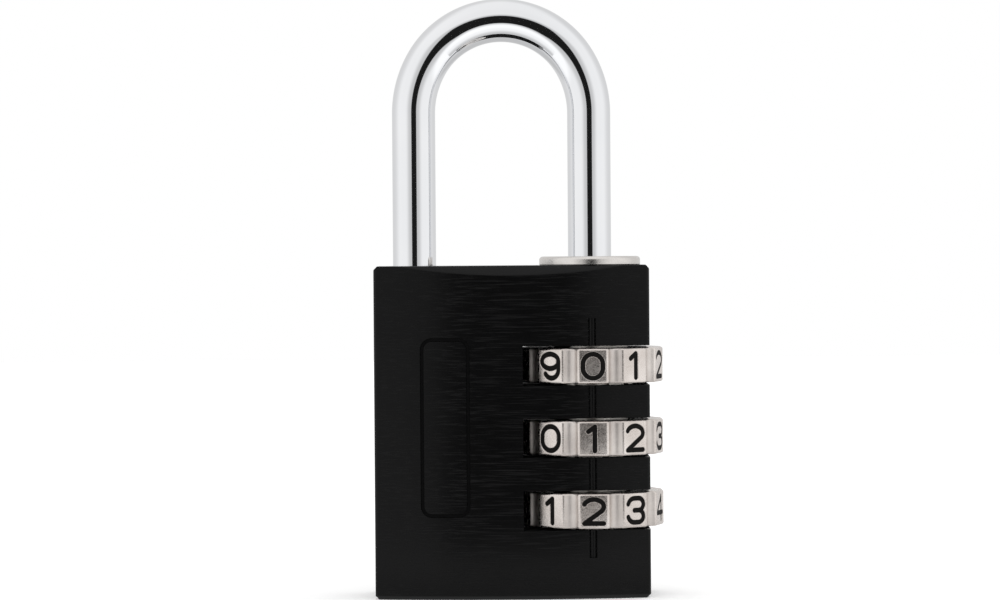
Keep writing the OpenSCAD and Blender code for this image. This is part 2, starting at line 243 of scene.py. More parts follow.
def weigh_normals(obj):
    """Lets the large faces set the shading beside small bevels."""
    modifier = obj.modifiers.new("normals", "WEIGHTED_NORMAL")
    modifier.weight = 90
    modifier.keep_sharp = True
    apply_modifiers(obj)


def settle(obj, body, material, slot, *nodes):
    """Gives a piece its body and finish, and hides the CAD nodes that it stands for."""
    obj.data.materials.clear()
    obj.data.materials.append(material)
    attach(obj, body)
    if nodes:
        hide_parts(*nodes)


def walls(bm, rings):
    """Faces between each ring of vertices and the next."""
    count = len(rings[0])
    for low, high in zip(rings, rings[1:]):
        for k in range(count):
            m = (k + 1) % count
            bm.faces.new((low[k], low[m], high[m], high[k]))


def loft(bm, loops):
    """A closed solid through loops of equal length."""
    rings = [[bm.verts.new(p) for p in loop] for loop in loops]
    walls(bm, rings)
    bm.faces.new(rings[0][::-1])
    bm.faces.new(rings[-1])


def circle(centre, radius, z, sides):
    return [(centre[0] + radius * math.cos(a), centre[1] + radius * math.sin(a), z)
            for a in spread(2 * math.pi, sides)]


def turned(bm, centre, profile, sides=144):
    """A solid of revolution from (radius, z) points that form a closed outline off the axis."""
    rings = [[bm.verts.new(p) for p in circle(centre, r, z, sides)] for r, z in profile]
    walls(bm, rings + rings[:1])


def rod(bm, centre, radii_at, sides=144):
    """A solid of revolution from (radius, z) points between two flat ends."""
    loft(bm, [circle(centre, r, z, sides) for r, z in radii_at])


def rounded_path(points, radii, steps=4):
    """A 3-D polyline whose inner corners are rounded, with steps + 1 points at each one."""
    path = [points[0]]
    for before, here, after, radius in zip(points, points[1:], points[2:], radii):
        back, on = before - here, after - here
        reach = min(radius, 0.45 * back.length, 0.45 * on.length)
        start, end = here + back.normalized() * reach, here + on.normalized() * reach
        path += [bend(start, here, end, k / steps) for k in range(steps + 1)]
    return path + [points[-1]]


# ---------------------------------------------------------------- strokes cut into a surface

def arc_points(cx, cy, r, start, end, step=7):
    """Points of an arc, with about this many degrees between them."""
    count = max(2, round(abs(end - start) / step))
    angles = [math.radians(start + (end - start) * k / count) for k in range(count + 1)]
    return [(cx + r * math.cos(a), cy + r * math.sin(a)) for a in angles]


def line_points(a, b, step=0.4):
    """Points of a straight line, at about this distance."""
    count = max(1, round(math.dist(a, b) / step))
    return [(a[0] + (b[0] - a[0]) * k / count, a[1] + (b[1] - a[1]) * k / count)
            for k in range(count + 1)]


def joined(*runs):
    """One path from runs that follow each other, without doubled points."""
    path = []
    for point in (p for run in runs for p in run):
        if not path or math.dist(path[-1], point) > SAME_POINT:
            path.append(point)
    return path


def ring_path(cy, r, dx, dy):
    """A flattened ring: two half circles joined by straight stretches along x or y."""
    if dx > 0:
        runs = (arc_points(dx, cy, r, -90, 90), line_points((dx, cy + r), (-dx, cy + r)),
                arc_points(-dx, cy, r, 90, 270), line_points((-dx, cy - r), (dx, cy - r)))
    else:
        runs = (arc_points(0, cy + dy, r, 0, 180), line_points((-r, cy + dy), (-r, cy - dy)),
                arc_points(0, cy - dy, r, 180, 360), line_points((r, cy - dy), (r, cy + dy)))
    return joined(*runs)[:-1]


def hood_path(cy, rx, ry, left, right):
    """The upper half of an oval, from one angle on its left arc to one on its right arc."""
    r = 0.8 * ry
    big = ((rx - r) ** 2 + ry ** 2 - r ** 2) / (2 * (ry - r))
    lean = math.degrees(math.atan2(big - ry, rx - r))
    return joined(arc_points(r - rx, cy, r, left, 180 - lean),
                  arc_points(0, cy - big + ry, big, 180 - lean, lean),
                  arc_points(rx - r, cy, r, lean, right))


def digit_strokes(n):
    """The strokes of a number centred on the origin, as (path, closed) pairs."""
    x = (DIGIT_W - STROKE) / 2
    y = (DIGIT_H - STROKE) / 2
    hook = 0.7 * y
    bowl = min(0.6 * y, 0.95 * x)
    if n == 0:
        return [(ring_path(0, x, 0, y - x), True)]
    if n == 1:
        return [(line_points((0.15 * x, -y), (0.15 * x, y)), False),
                (line_points((0.15 * x, y), (-0.5 * x, 0.6 * y)), False)]
    if n == 2:
        top = hood_path(y - bowl, x, bowl, 155, -50)
        return [(joined(top, line_points(top[-1], (-0.95 * x, -y))), False),
                (line_points((-0.95 * x, -y), (x, -y)), False)]
    if n == 3:
        strokes = []
        for s in (-1, 1):
            start = arc_points(-0.15 * x, s * (y - hook), hook, s * 160, s * 90)
            side = arc_points(x - y / 2, s * y / 2, y / 2, s * 90, -s * 90)
            strokes.append((joined(start, line_points(start[-1], side[0]), side,
                                   line_points(side[-1], (-0.15 * x, 0))), False))
        return strokes
    if n == 4:
        return [(line_points((0.45 * x, -y), (0.45 * x, y)), False),
                (line_points((0.45 * x, y), (-x, -0.4 * y)), False),
                (line_points((-x, -0.4 * y), (x, -0.4 * y)), False)]
    if n == 5:
        return [(line_points((-0.75 * x, y), (0.85 * x, y)), False),
                (line_points((-0.75 * x, y), (-0.85 * x, 0.1 * y)), False),
                (arc_points(0, hook - y, hook, 145, -150), False)]
    if n == 7:
        return [(line_points((-0.9 * x, y), (0.9 * x, y)), False),
                (line_points((0.9 * x, y), (-0.25 * x, -y)), False)]
    if n == 8:
        return [(ring_path(0.54 * y, 0.46 * y, 0.85 * x - 0.46 * y, 0), True),
                (ring_path(-0.46 * y, 0.54 * y, x - 0.54 * y, 0), True)]
    s = -1 if n == 6 else 1
    upper = hood_path(y - bowl, x, bowl, 180, 0)
    ring = joined(upper, [(-a, 2 * (y - bowl) - b) for a, b in upper])[:-1]
    tail = joined(line_points((x, y - bowl), (x, hook - y)),
                  arc_points(x - hook, hook - y, hook, 0, -150))
    return [([(s * a, s * b) for a, b in ring], True), ([(s * a, s * b) for a, b in tail], False)]


def stroke_solid(bm, path, closed, levels, place, cap_steps=10):
    """A closed solid along a path on a surface.

    levels are (height, half width) pairs, and place turns (u, v, height) into a point.
    """
    last = len(path) - 1
    sides = []
    for k, p in enumerate(path):
        before = path[k - 1] if closed or k > 0 else None
        after = path[(k + 1) % len(path)] if closed or k < last else None
        tangents = [Vector(b) - Vector(a) for a, b in ((before, p), (p, after)) if a and b]
        normals = [Vector((-t.y, t.x)).normalized() for t in tangents]
        sides.append((normals[0] + normals[-1]) / (1 + normals[0].dot(normals[-1])))

    def edge(half):
        return [Vector(p) + s * half for p, s in zip(path, sides)]

    def cap(k, half, sign):
        n = sides[k].normalized() * sign
        ahead = Vector((n.y, -n.x))
        return [Vector(path[k]) + half * (n * math.cos(a) + ahead * math.sin(a))
                for a in spread(math.pi, cap_steps)[1:]]

    def vertices(points, height):
        return [bm.verts.new(place(p.x, p.y, height)) for p in points]

    if closed:
        outer = [vertices(edge(half), height) for height, half in levels]
        inner = [vertices(edge(-half), height) for height, half in levels]
        walls(bm, outer)
        walls(bm, inner)
        walls(bm, [outer[0], inner[0]])
        walls(bm, [outer[-1], inner[-1]])
    else:
        loops = [vertices(edge(half) + cap(last, half, 1) + edge(-half)[::-1] + cap(0, half, -1),
                          height) for height, half in levels]
        walls(bm, loops)
        bm.faces.new(loops[0][::-1])
        bm.faces.new(loops[-1])


def digits_object(name, wheel, levels):
    """All ten numbers of a wheel, as one solid a number."""
    low, high = wheel_box(wheel)
    middle = (low + high) / 2
    merged = None
    for layer in range(3):
        bm = bmesh.new()
        for n in range(PLACES):
            strokes = digit_strokes(n)
            if layer >= len(strokes):
                continue
            turn = (n - SHOWN[wheel]) * STEP
            c, s = math.cos(turn), math.sin(turn)

            def place(u, v, height):
                x, y = u, -FLAT_R - height
                return (AXIS_X + c * x - s * y, s * x + c * y, middle + v)

            path, closed = strokes[layer]
            stroke_solid(bm, path, closed, levels, place)
        part = to_object(f"{name}_{layer}", bm)
        if merged is None:
            merged = part
        else:
            boolean(merged, part, "UNION")
    merged.name = name
    return merged


# ---------------------------------------------------------------- materials

class Finish:
    """A material whose pattern nodes are added one call at a time."""

    def __init__(self, name, **values):
        self.material = bpy.data.materials.new(name)
        self.material.use_nodes = True
        self.tree = self.material.node_tree
        self.shader = self.tree.nodes["Principled BSDF"]
        for key, value in values.items():
            self.shader.inputs[key.replace("_", " ")].default_value = value
        self.coords = self.tree.nodes.new("ShaderNodeTexCoord").outputs["Object"]

    def add(self, kind, inputs=None, **settings):
        node = self.tree.nodes.new(kind)
        for key, value in settings.items():
            setattr(node, key, value)
        for key, value in (inputs or {}).items():
            if isinstance(value, bpy.types.NodeSocket):
                self.tree.links.new(value, node.inputs[key])
            else:
                node.inputs[key].default_value = value
        return node

    def noise(self, per_mm, detail=3, roughness=0.55, offset=0.0):
        """Noise with about this many bumps a millimetre along x, y and z."""
        scale = tuple(v / MM for v in per_mm)
        mapping = self.add("ShaderNodeMapping",
                           {"Vector": self.coords, "Scale": scale, "Location": (offset,) * 3})
        return self.add("ShaderNodeTexNoise",
                        {"Vector": mapping.outputs["Vector"], "Scale": 1.0, "Detail": detail,
                         "Roughness": roughness}).outputs["Fac"]

    def ranged(self, value, low, high, start=0.3, end=0.7):
        """A change from low to high, as the value goes from start to end."""
        return self.add("ShaderNodeMapRange",
                        {"Value": value, "From Min": start, "From Max": end,
                         "To Min": low, "To Max": high}).outputs["Result"]

    def eased(self, value, start, end, low=0.0, high=1.0):
        """A change from low to high with soft ends, between two values."""
        return self.add("ShaderNodeMapRange",
                        {"Value": value, "From Min": start, "From Max": end,
                         "To Min": low, "To Max": high},
                        interpolation_type="SMOOTHSTEP").outputs["Result"]

    def mixed(self, a, b, factor=0.5):
        return self.add("ShaderNodeMix", {0: factor, 2: a, 3: b}).outputs[0]

    def colours(self, value, dark, light, start=0.3, end=0.7):
        ramp = self.add("ShaderNodeValToRGB", {"Fac": value})
        ramp.color_ramp.elements[0].position = start
        ramp.color_ramp.elements[1].position = end
        ramp.color_ramp.elements[0].color = (*dark, 1)
        ramp.color_ramp.elements[1].color = (*light, 1)
        return ramp.outputs["Color"]

    def bump(self, height, depth_mm, strength=1.0):
        """Chains a bump of about this depth to the ones before it."""
        socket = self.shader.inputs["Normal"]
        inputs = {"Height": height, "Strength": strength, "Distance": depth_mm * MM}
        if socket.is_linked:
            inputs["Normal"] = socket.links[0].from_socket
        self.drive("Normal", self.add("ShaderNodeBump", inputs).outputs["Normal"])

    def drive(self, name, output):
        self.tree.links.new(output, self.shader.inputs[name])


def anodised():
    """The brushed outside of the body."""
    f = Finish("black_anodised_brushed", Specular_IOR_Level=0.145)
    streaks = f.ranged(f.noise((0.2, 4.5, 6.5), detail=4, roughness=0.6), 0, 1, 0.5, 0.68)
    fine = f.noise((0.6, 14, 18), detail=2, offset=3.7)
    clouds = f.noise((0.25, 0.3, 0.3), offset=9.1)
    f.drive("Base Color", f.colours(f.mixed(streaks, clouds, 0.4),
                                    (0.0030, 0.0030, 0.0031), (0.0056, 0.0055, 0.0057), 0.1, 0.8))
    f.drive("Roughness", f.ranged(f.mixed(streaks, fine, 0.3), 0.15, 0.42, 0.1, 0.75))
    f.bump(streaks, 0.0015, 0.5)
    f.bump(fine, 0.0008, 0.5)
    return f.material


def body_inside():
    """The rough, unbrushed walls of the bores and slots."""
    f = Finish("black_anodised_rough", Specular_IOR_Level=0.05)
    grain = f.noise((7, 7, 7), detail=3)
    f.drive("Base Color", f.colours(grain, (0.0018, 0.0018, 0.0019), (0.0042, 0.0041, 0.0042)))
    f.drive("Roughness", f.ranged(grain, 0.55, 0.75))
    f.bump(grain, 0.006)
    return f.material


def chrome():
    f = Finish("polished_chrome", Metallic=1.0)
    clouds = f.noise((0.12, 0.12, 0.12))
    scratches = f.noise((1.2, 1.2, 9), detail=5, roughness=0.7, offset=2.3)
    f.drive("Base Color", f.colours(clouds, (0.84, 0.85, 0.87), (0.875, 0.88, 0.895)))
    f.drive("Roughness", f.ranged(scratches, 0.035, 0.075))
    f.bump(clouds, 0.004, 0.3)
    return f.material


def nickel(name, dark, light, low, high, grain):
    """Nickel plate between two colours and two roughnesses, with a grain of this depth."""
    f = Finish(name, Metallic=1.0)
    clouds = f.noise((0.35, 0.35, 0.35))
    speckle = f.noise((11, 11, 11), detail=4, roughness=0.7, offset=1.9)
    coarse = f.noise((3, 3, 3), detail=3, offset=5.2)
    f.drive("Base Color", f.colours(f.mixed(clouds, speckle), dark, light, 0.35, 0.65))
    f.drive("Roughness", f.ranged(f.mixed(coarse, speckle), low, high))
    f.bump(speckle, grain)
    f.bump(coarse, grain * 0.8)
    return f.material


def digit_paint():
    f = Finish("matt_black_paint", Specular_IOR_Level=0.1)
    grain = f.noise((8, 8, 8), detail=3)
    f.drive("Base Color", f.colours(grain, (0.003, 0.0026, 0.0024), (0.007, 0.006, 0.0055)))
    f.drive("Roughness", f.ranged(grain, 0.5, 0.68))
    f.bump(grain, 0.006)
    return f.material


def plated_brass():
    """Nickel plate over turned brass."""
    f = Finish("plated_brass", Metallic=1.0)
    rings = f.noise((0.06, 0.06, 9), detail=3, roughness=0.7)
    stain = f.noise((0.5, 0.5, 0.5), offset=4.4)
    f.drive("Base Color", f.colours(stain, (0.58, 0.55, 0.51), (0.74, 0.71, 0.67)))
    f.drive("Roughness", f.ranged(rings, 0.2, 0.42))
    f.bump(rings, 0.006)
    return f.material


def spring_steel():
    f = Finish("spring_steel", Metallic=1.0)
    stain = f.noise((0.8, 0.8, 0.8))
    grain = f.noise((6, 6, 6), detail=3, offset=6.1)
    f.drive("Base Color", f.colours(stain, (0.36, 0.35, 0.34), (0.52, 0.51, 0.50)))
    f.drive("Roughness", f.ranged(grain, 0.24, 0.4))
    f.bump(grain, 0.004)
    return f.material


# ---------------------------------------------------------------- camera, light and floor

def camera():
    """A long lens in front, turned and rolled a little."""
    place, target = Vector((-5.7, -400, 37.4)) * MM, Vector((-1.19, 0, 32.45)) * MM
    roll = Matrix.Rotation(math.radians(-0.4), 4, "Z")
    data = bpy.data.cameras.new("camera")
    data.lens = 130.9
    data.sensor_width = 36
    obj = bpy.data.objects.new("camera", data)
    bpy.context.scene.collection.objects.link(obj)
    aim = (target - place).to_track_quat("-Z", "Y").to_matrix().to_4x4()
    obj.matrix_world = Matrix.Translation(place) @ aim @ roll
    bpy.context.scene.camera = obj


def world():
    """An even white surrounding."""
    scene = bpy.context.scene
    scene.view_settings.view_transform = "Standard"
    sky = bpy.data.worlds.new("studio")
    sky.use_nodes = True
    sky.cycles.sampling_method = "NONE"
    scene.world = sky
    background = sky.node_tree.nodes["Background"]
    background.inputs["Color"].default_value = (1, 1, 1, 1)
    background.inputs["Strength"].default_value = 1.0


def show_in_gloss(obj, f, output):
    """Finishes a glowing object that only glossy rays meet."""
    f.tree.links.new(output, f.tree.nodes["Material Output"].inputs["Surface"])
    f.material.cycles.emission_sampling = "NONE"
    obj.data.materials.append(f.material)
    for ray in ("camera", "diffuse", "transmission", "volume_scatter", "shadow"):
        setattr(obj, f"visible_{ray}", False)


def rectangle(name, half_x, front, back, z):
    bm = bmesh.new()
    corners = ((-half_x, front), (half_x, front), (half_x, back), (-half_x, back))
    bm.faces.new([bm.verts.new((x, y, z)) for x, y in corners])
    return to_object(name, bm)


def reflections():
    """What the gloss sees: a pale studio all round, with one dark opening in front."""
    bm = bmesh.new()
    bmesh.ops.create_icosphere(bm, subdivisions=5, radius=3000)
    obj = to_object("studio_dome", bm)
    f = Finish("studio_panels")
    f.tree.nodes.remove(f.shader)

    def math_node(operation, a, b=None):
        inputs = {0: a} if b is None else {0: a, 1: b}
        return f.add("ShaderNodeMath", inputs, operation=operation).outputs[0]

    def both(a, b):
        return math_node("MULTIPLY", a, b)

    deg = math.radians
    direction = f.add("ShaderNodeVectorMath", {0: f.coords}, operation="NORMALIZE").outputs[0]
    x, y, z = f.add("ShaderNodeSeparateXYZ", {0: direction}).outputs
    azimuth = math_node("ARCTAN2", x, both(y, -1.0))
    elevation = math_node("ARCSINE", z)
    curve = f.add("ShaderNodeFloatCurve",
                  {"Value": math_node("DIVIDE", math_node("ABSOLUTE", azimuth), math.pi)})
    line = curve.mapping.curves[0]
    # Brightness at these degrees to either side of the front
    around = ((0, 0.93), (20, 0.93), (35, 0.95), (50, 0.97), (60, 0.97), (84, 0.97),
              (96, 0.9), (112, 0.8), (140, 0.74), (180, 0.76))
    while len(line.points) < len(around):
        line.points.new(0.5, 0.5)
    for point, (angle, level) in zip(line.points, around):
        point.location = (angle / 180, level)
    curve.mapping.update()
    ceiling, ground, opening_level, beside_level = 0.95, (1.15, 0.6), 0.012, 0.68
    level = f.mixed(curve.outputs[0], ceiling, f.eased(elevation, deg(45), deg(75)))
    level = f.mixed(level, f.eased(y, -0.3, 0.5, *ground),
                    f.eased(elevation, deg(-14), deg(-24)))
    width = math_node("ABSOLUTE", math_node("SUBTRACT", azimuth, deg(1.2)))
    beside = both(f.eased(width, deg(50), deg(14)),
                  both(f.eased(elevation, deg(-30), deg(-18)),
                       f.eased(elevation, deg(34), deg(23))))
    level = both(level, f.eased(beside, 0, 1, 1.0, beside_level))
    opening = both(f.eased(width, deg(14.8), deg(11.8)),
                   both(f.eased(elevation, deg(-18.2), deg(-15.2)),
                        f.eased(elevation, deg(24), deg(21))))
    strength = f.mixed(level, opening_level, opening)
    show_in_gloss(obj, f, f.add("ShaderNodeEmission", {"Strength": strength}).outputs[0])


def floor():
    """A white table, lifted towards the white of the surrounding by a weak glow."""
    obj = rectangle("floor", 900, -900, 900, -0.01)
    f = Finish("pale_floor", Roughness=0.9, Specular_IOR_Level=0.1)
    clouds = f.noise((0.02, 0.02, 0.02))
    f.drive("Base Color", f.colours(clouds, (0.93, 0.93, 0.93), (0.95, 0.95, 0.95)))
    f.shader.inputs["Emission Color"].default_value = (1, 1, 1, 1)
    f.shader.inputs["Emission Strength"].default_value = 0.22
    obj.data.materials.append(f.material)
    obj.visible_glossy = False


def table_front():
    """The lit table close in front, which only the gloss sees, fading out away from the lock."""
    obj = rectangle("table_front", 60, -85, -7, -0.02)
    f = Finish("table_sheen")
    f.tree.nodes.remove(f.shader)
    along = f.add("ShaderNodeSeparateXYZ", {0: f.coords}).outputs[1]
    fade = f.eased(along, -80 * MM, -50 * MM)
    level = f.ranged(along, 1.05, 0.65, -45 * MM, -22 * MM)
    glow = f.add("ShaderNodeEmission", {"Strength": level}).outputs[0]
    clear = f.add("ShaderNodeBsdfTransparent").outputs[0]
    show_in_gloss(obj, f, f.add("ShaderNodeMixShader", {0: fade, 1: clear, 2: glow}).outputs[0])


# ---------------------------------------------------------------- the body

def body_outline():
    """The body's outline from above, with bulged long sides and small chamfered corners."""
    count = 110
    x_end = BODY_X - EDGE_CHAMFER / 2
    y_end = half_depth(x_end)
    side_y = half_depth(BODY_X) - EDGE_CHAMFER / 2
    front = [(-x_end + 2 * x_end * k / count) for k in range(count + 1)]
    front = [Vector((x, -half_depth(x), 0)) for x in front]
    side = Vector((BODY_X, 0, 0))

    def corner(*points):
        return rounded_path(points, (0.1, 0.1), 3)[1:-1]

    half = front[1:-1]
    half += corner(front[-2], Vector((x_end, -y_end, 0)), Vector((BODY_X, -side_y, 0)), side)
    half += [Vector((BODY_X, y, 0)) for y in (-3, -1, 1, 3)]
    half += corner(side, Vector((BODY_X, side_y, 0)), Vector((x_end, y_end, 0)), -front[1])
    return half + [-p for p in half]


def body_blank():
    """The body before its bores are cut, one column of points for each outline point."""
    bevel_y = BODY_Y - TOP_BEVEL
    top_x = BODY_X - EDGE_CHAMFER
    columns = []
    for p in body_outline():
        reach = max(abs(p.x) - top_x, abs(p.y) - bevel_y, SLIVER)
        inner = Vector((p.x, p.y, BODY_H))
        if abs(p.x) > top_x:
            inner.x = math.copysign(top_x, p.x)
        if abs(p.y) > bevel_y:
            inner.y = math.copysign(bevel_y, p.y)
        if (inner - Vector((p.x, p.y, BODY_H))).length < SLIVER:
            inner.y -= math.copysign(SLIVER, p.y)
        base = Vector((math.copysign(min(abs(p.x), top_x), p.x),
                       math.copysign(max(abs(p.y) - EDGE_CHAMFER, 0), p.y), 0))
        if abs(p.x) > BODY_X - 0.01:
            base.y = p.y if abs(p.y) < half_depth(BODY_X) - EDGE_CHAMFER else base.y
        low = Vector((p.x, p.y, EDGE_CHAMFER))
        high = Vector((p.x, p.y, BODY_H - reach))
        inward = inner - high
        inward.z = 0
        deeper = inner + inward.normalized() * RIM_INSET
        under = base - (Vector((p.x, p.y, 0)) - base).normalized() * RIM_INSET
        columns.append(rounded_path([under, base, low, high, inner, deeper],
                                    (0.08, 0.08, 0.1, 0.1), 3))
    bm = bmesh.new()
    loft(bm, [[column[k] for column in columns] for k in range(len(columns[0]))])
    return to_object("padlock_body", bm)


def bore(body, centre, radii_at, sides=144):
    """Cuts an upright round hole, given as (radius, z) points."""
    bm = bmesh.new()
    rod(bm, centre, radii_at, sides)
    boolean(body, to_object("bore", bm))


def border_cutter():
    """A plain rounded frame, cut along the bulged front face."""
    x, z = BORDER_HALF_W - BORDER_CORNER_R, BORDER_HALF_H - BORDER_CORNER_R
    runs = [arc_points(BORDER_X + x_sign * x, BORDER_Z + z_sign * z, BORDER_CORNER_R,
                       turn, turn + 90, 9)
            for x_sign, z_sign, turn in ((1, -1, -90), (1, 1, 0), (-1, 1, 90), (-1, -1, 180))]
    path = []
    for run, following in zip(runs, runs[1:] + runs[:1]):
        path = joined(path, run, line_points(run[-1], following[0], 0.3))
    bm = bmesh.new()
    stroke_solid(bm, path[:-1], True, BORDER_LEVELS,
                 lambda u, v, height: (u, -half_depth(u) - height, v))
    return to_object("border", bm)


def is_outside(polygon):
    """Tells the brushed outside of the body from the walls of its bores and slots."""
    x, y, z = polygon.center / MM
    on_face = abs(polygon.normal.y) > 0.9 and abs(y) > half_depth(x) - 0.02
    on_side = abs(x) > BODY_X - 0.5
    on_end = z > BODY_H - 0.35 or z < 0.45
    on_bevel = abs(y) + z > BODY_Y + BODY_H - TOP_BEVEL - 0.2
    in_groove = math.hypot(x - AXIS_X, y + half_depth(AXIS_X)) < INDEX_R + 0.1
    return on_face or on_side or on_end or on_bevel or in_groove


def lock_body(material, inside):
    body = body_blank()
    over = BODY_H + 1
    bore(body, (AXIS_X, 0), [(BORE_R, BASE_WALL), (BORE_R, over)])
    bore(body, (TOE_X, 0), [(TOE_HOLE_R, TOE_FLOOR), (TOE_HOLE_R, BODY_H - MOUTH),
                            (TOE_HOLE_R + MOUTH, BODY_H), (TOE_HOLE_R + MOUTH, over)])
    bore(body, (DETENT_BORE_X, 0),
         [(DETENT_BORE_R + PLUG_MOUTH, -1), (DETENT_BORE_R + PLUG_MOUTH, 0),
          (DETENT_BORE_R, PLUG_MOUTH), (DETENT_BORE_R, DETENT_BORE_TOP)], 96)
    for i in WHEEL_IDS:
        low, high = wheel_box(i)
        bore(body, (AXIS_X, 0), [(SLOT_R, low - SLOT_GAP), (SLOT_R, high + SLOT_GAP)], 240)
    low = wheel_box(WHEEL_IDS[-1])[0] - SLOT_GAP - INDEX_OVER
    high = wheel_box(WHEEL_IDS[0])[1] + SLOT_GAP + INDEX_OVER
    bore(body, (AXIS_X, -half_depth(AXIS_X)), [(INDEX_R, low), (INDEX_R, high)], 48)
    boolean(body, border_cutter())
    for vertex in body.data.vertices:
        vertex.co.z = min(max(vertex.co.z, 0), BODY_H * MM)
    face_out(body)
    smooth(body, 50)
    weigh_normals(body)
    settle(body, "lock", material, "black_aluminium", "lock_body")
    body.data.materials.append(inside)
    for polygon in body.data.polygons:
        polygon.material_index = 0 if is_outside(polygon) else 1


# ---------------------------------------------------------------- shackle and collar

def shackle(material):
    """A round rod swept up the long leg, over the crown and down the short leg."""
    leg_half = (AXIS_X - TOE_X) / 2
    bow_x = (AXIS_X + TOE_X) / 2
    angle = math.radians(SHOULDER_ANGLE)
    shoulder_r = leg_half + SHOULDER_EASE
    crown_up = SHOULDER_EASE * math.tan(angle)
    crown_r = shoulder_r - SHOULDER_EASE / math.cos(angle)
    leg_top = ROD_HIGH.z - ROD_R - crown_r - crown_up
    low = ROD_LOW.z
    toe_top = TOE_Z + ROD_CHAMFER

    def arc(x, z, r, start, end, count):
        turns = [math.radians(start + (end - start) * k / count) for k in range(count + 1)]
        return [Vector((x + r * math.cos(a), 0, z + r * math.sin(a))) for a in turns]

    path = [Vector((AXIS_X, 0, z)) for z in (low, low + ROD_CHAMFER)]
    path += [Vector((AXIS_X, 0, low + (leg_top - low) * k / 8)) for k in range(1, 8)]
    path += arc(bow_x - SHOULDER_EASE, leg_top, shoulder_r, 0, SHOULDER_ANGLE, 24)
    path += arc(bow_x, leg_top + crown_up, crown_r, SHOULDER_ANGLE, 180 - SHOULDER_ANGLE, 96)[1:]
    path += arc(bow_x + SHOULDER_EASE, leg_top, shoulder_r, 180 - SHOULDER_ANGLE, 180, 24)[1:]
    path += [Vector((TOE_X, 0, leg_top + (toe_top - leg_top) * k / 4)) for k in range(1, 4)]
    path += [Vector((TOE_X, 0, z)) for z in (toe_top, TOE_Z)]
    front = Vector((0, 1, 0))
    loops = []
    for k, point in enumerate(path):
        ahead = (path[min(k + 1, len(path) - 1)] - path[max(k - 1, 0)]).normalized()
        across = front.cross(ahead)
        radius = ROD_R - (ROD_CHAMFER if k in (0, len(path) - 1) else 0)
        loops.append([point + radius * (across * math.cos(a) + front * math.sin(a))
                      for a in spread(2 * math.pi, 96)])
    bm = bmesh.new()
    loft(bm, loops)
    obj = to_object("padlock_shackle", bm)
    smooth(obj)
    settle(obj, "shackle", material, "shackle_chrome", "shackle")


def collar(material):
    """The bush round the long leg, with its flange on top of the body."""
    bottom, top, hole = COLLAR_LOW.z, COLLAR_HIGH.z, COLLAR_HOLE_R
    edge = 0.08
    rim = [(COLLAR_R - COLLAR_ROUND * (1 - math.cos(a)), top - COLLAR_ROUND * (1 - math.sin(a)))
           for a in (math.pi / 2 * k / 8 for k in range(9))]
    profile = [(hole, bottom + COLLAR_CHAMFER), (hole + COLLAR_CHAMFER, bottom),
               (BORE_R - COLLAR_CHAMFER, bottom), (BORE_R, bottom + COLLAR_CHAMFER),
               (BORE_R, BODY_H), (COLLAR_R - edge, BODY_H), (COLLAR_R, BODY_H + edge), *rim,
               (hole + COLLAR_LIP, top), (hole + 0.06, top - 0.04), (hole, top - COLLAR_LIP)]
    bm = bmesh.new()
    turned(bm, (AXIS_X, 0), profile, 160)
    obj = to_object("padlock_collar", bm)
    smooth(obj, 25)
    settle(obj, "lock", material, "collar_nickel", "spindle_collar")


# ---------------------------------------------------------------- number wheels

def wheel_outline():
    """The wheel's outline round its own axis: ten flats with scallops between them."""
    cos_edge = (SCALLOP_AT ** 2 + WHEEL_R ** 2 - SCALLOP_R ** 2) / (2 * SCALLOP_AT * WHEEL_R)
    sweep = math.asin(WHEEL_R * math.sin(math.acos(cos_edge)) / SCALLOP_R)
    trim = SCALLOP_EASE / SCALLOP_R
    next_place = Matrix.Rotation(STEP, 3, "Z")
    points = []
    for k in range(PLACES):
        valley = (k + 1) * STEP
        out, along = radial((k + 0.5) * STEP)
        centre = radial(valley)[0] * SCALLOP_AT

        def scalloped(angle):
            return centre + SCALLOP_R * radial(valley + math.pi + angle)[0]

        def corner(start, tip, end):
            return [bend(start, tip, end, t) for t in (0.0, 0.2, 0.4, 0.6, 0.8, 1.0)]

        flat_end = out * FLAT_R + along * FLAT_HALF
        next_flat = next_place @ (out * FLAT_R - along * FLAT_HALF)
        next_along = next_place @ along
        points += [out * FLAT_R + along * (FLAT_HALF * t) for t in (-0.6, -0.3, 0, 0.3, 0.6)]
        points += corner(flat_end - along * SCALLOP_EASE, flat_end, scalloped(sweep - trim))
        points += [scalloped((sweep - trim) * (1 - 2 * j / 12)) for j in range(1, 12)]
        points += corner(scalloped(trim - sweep), next_flat,
                         next_flat + next_along * SCALLOP_EASE)
    return points


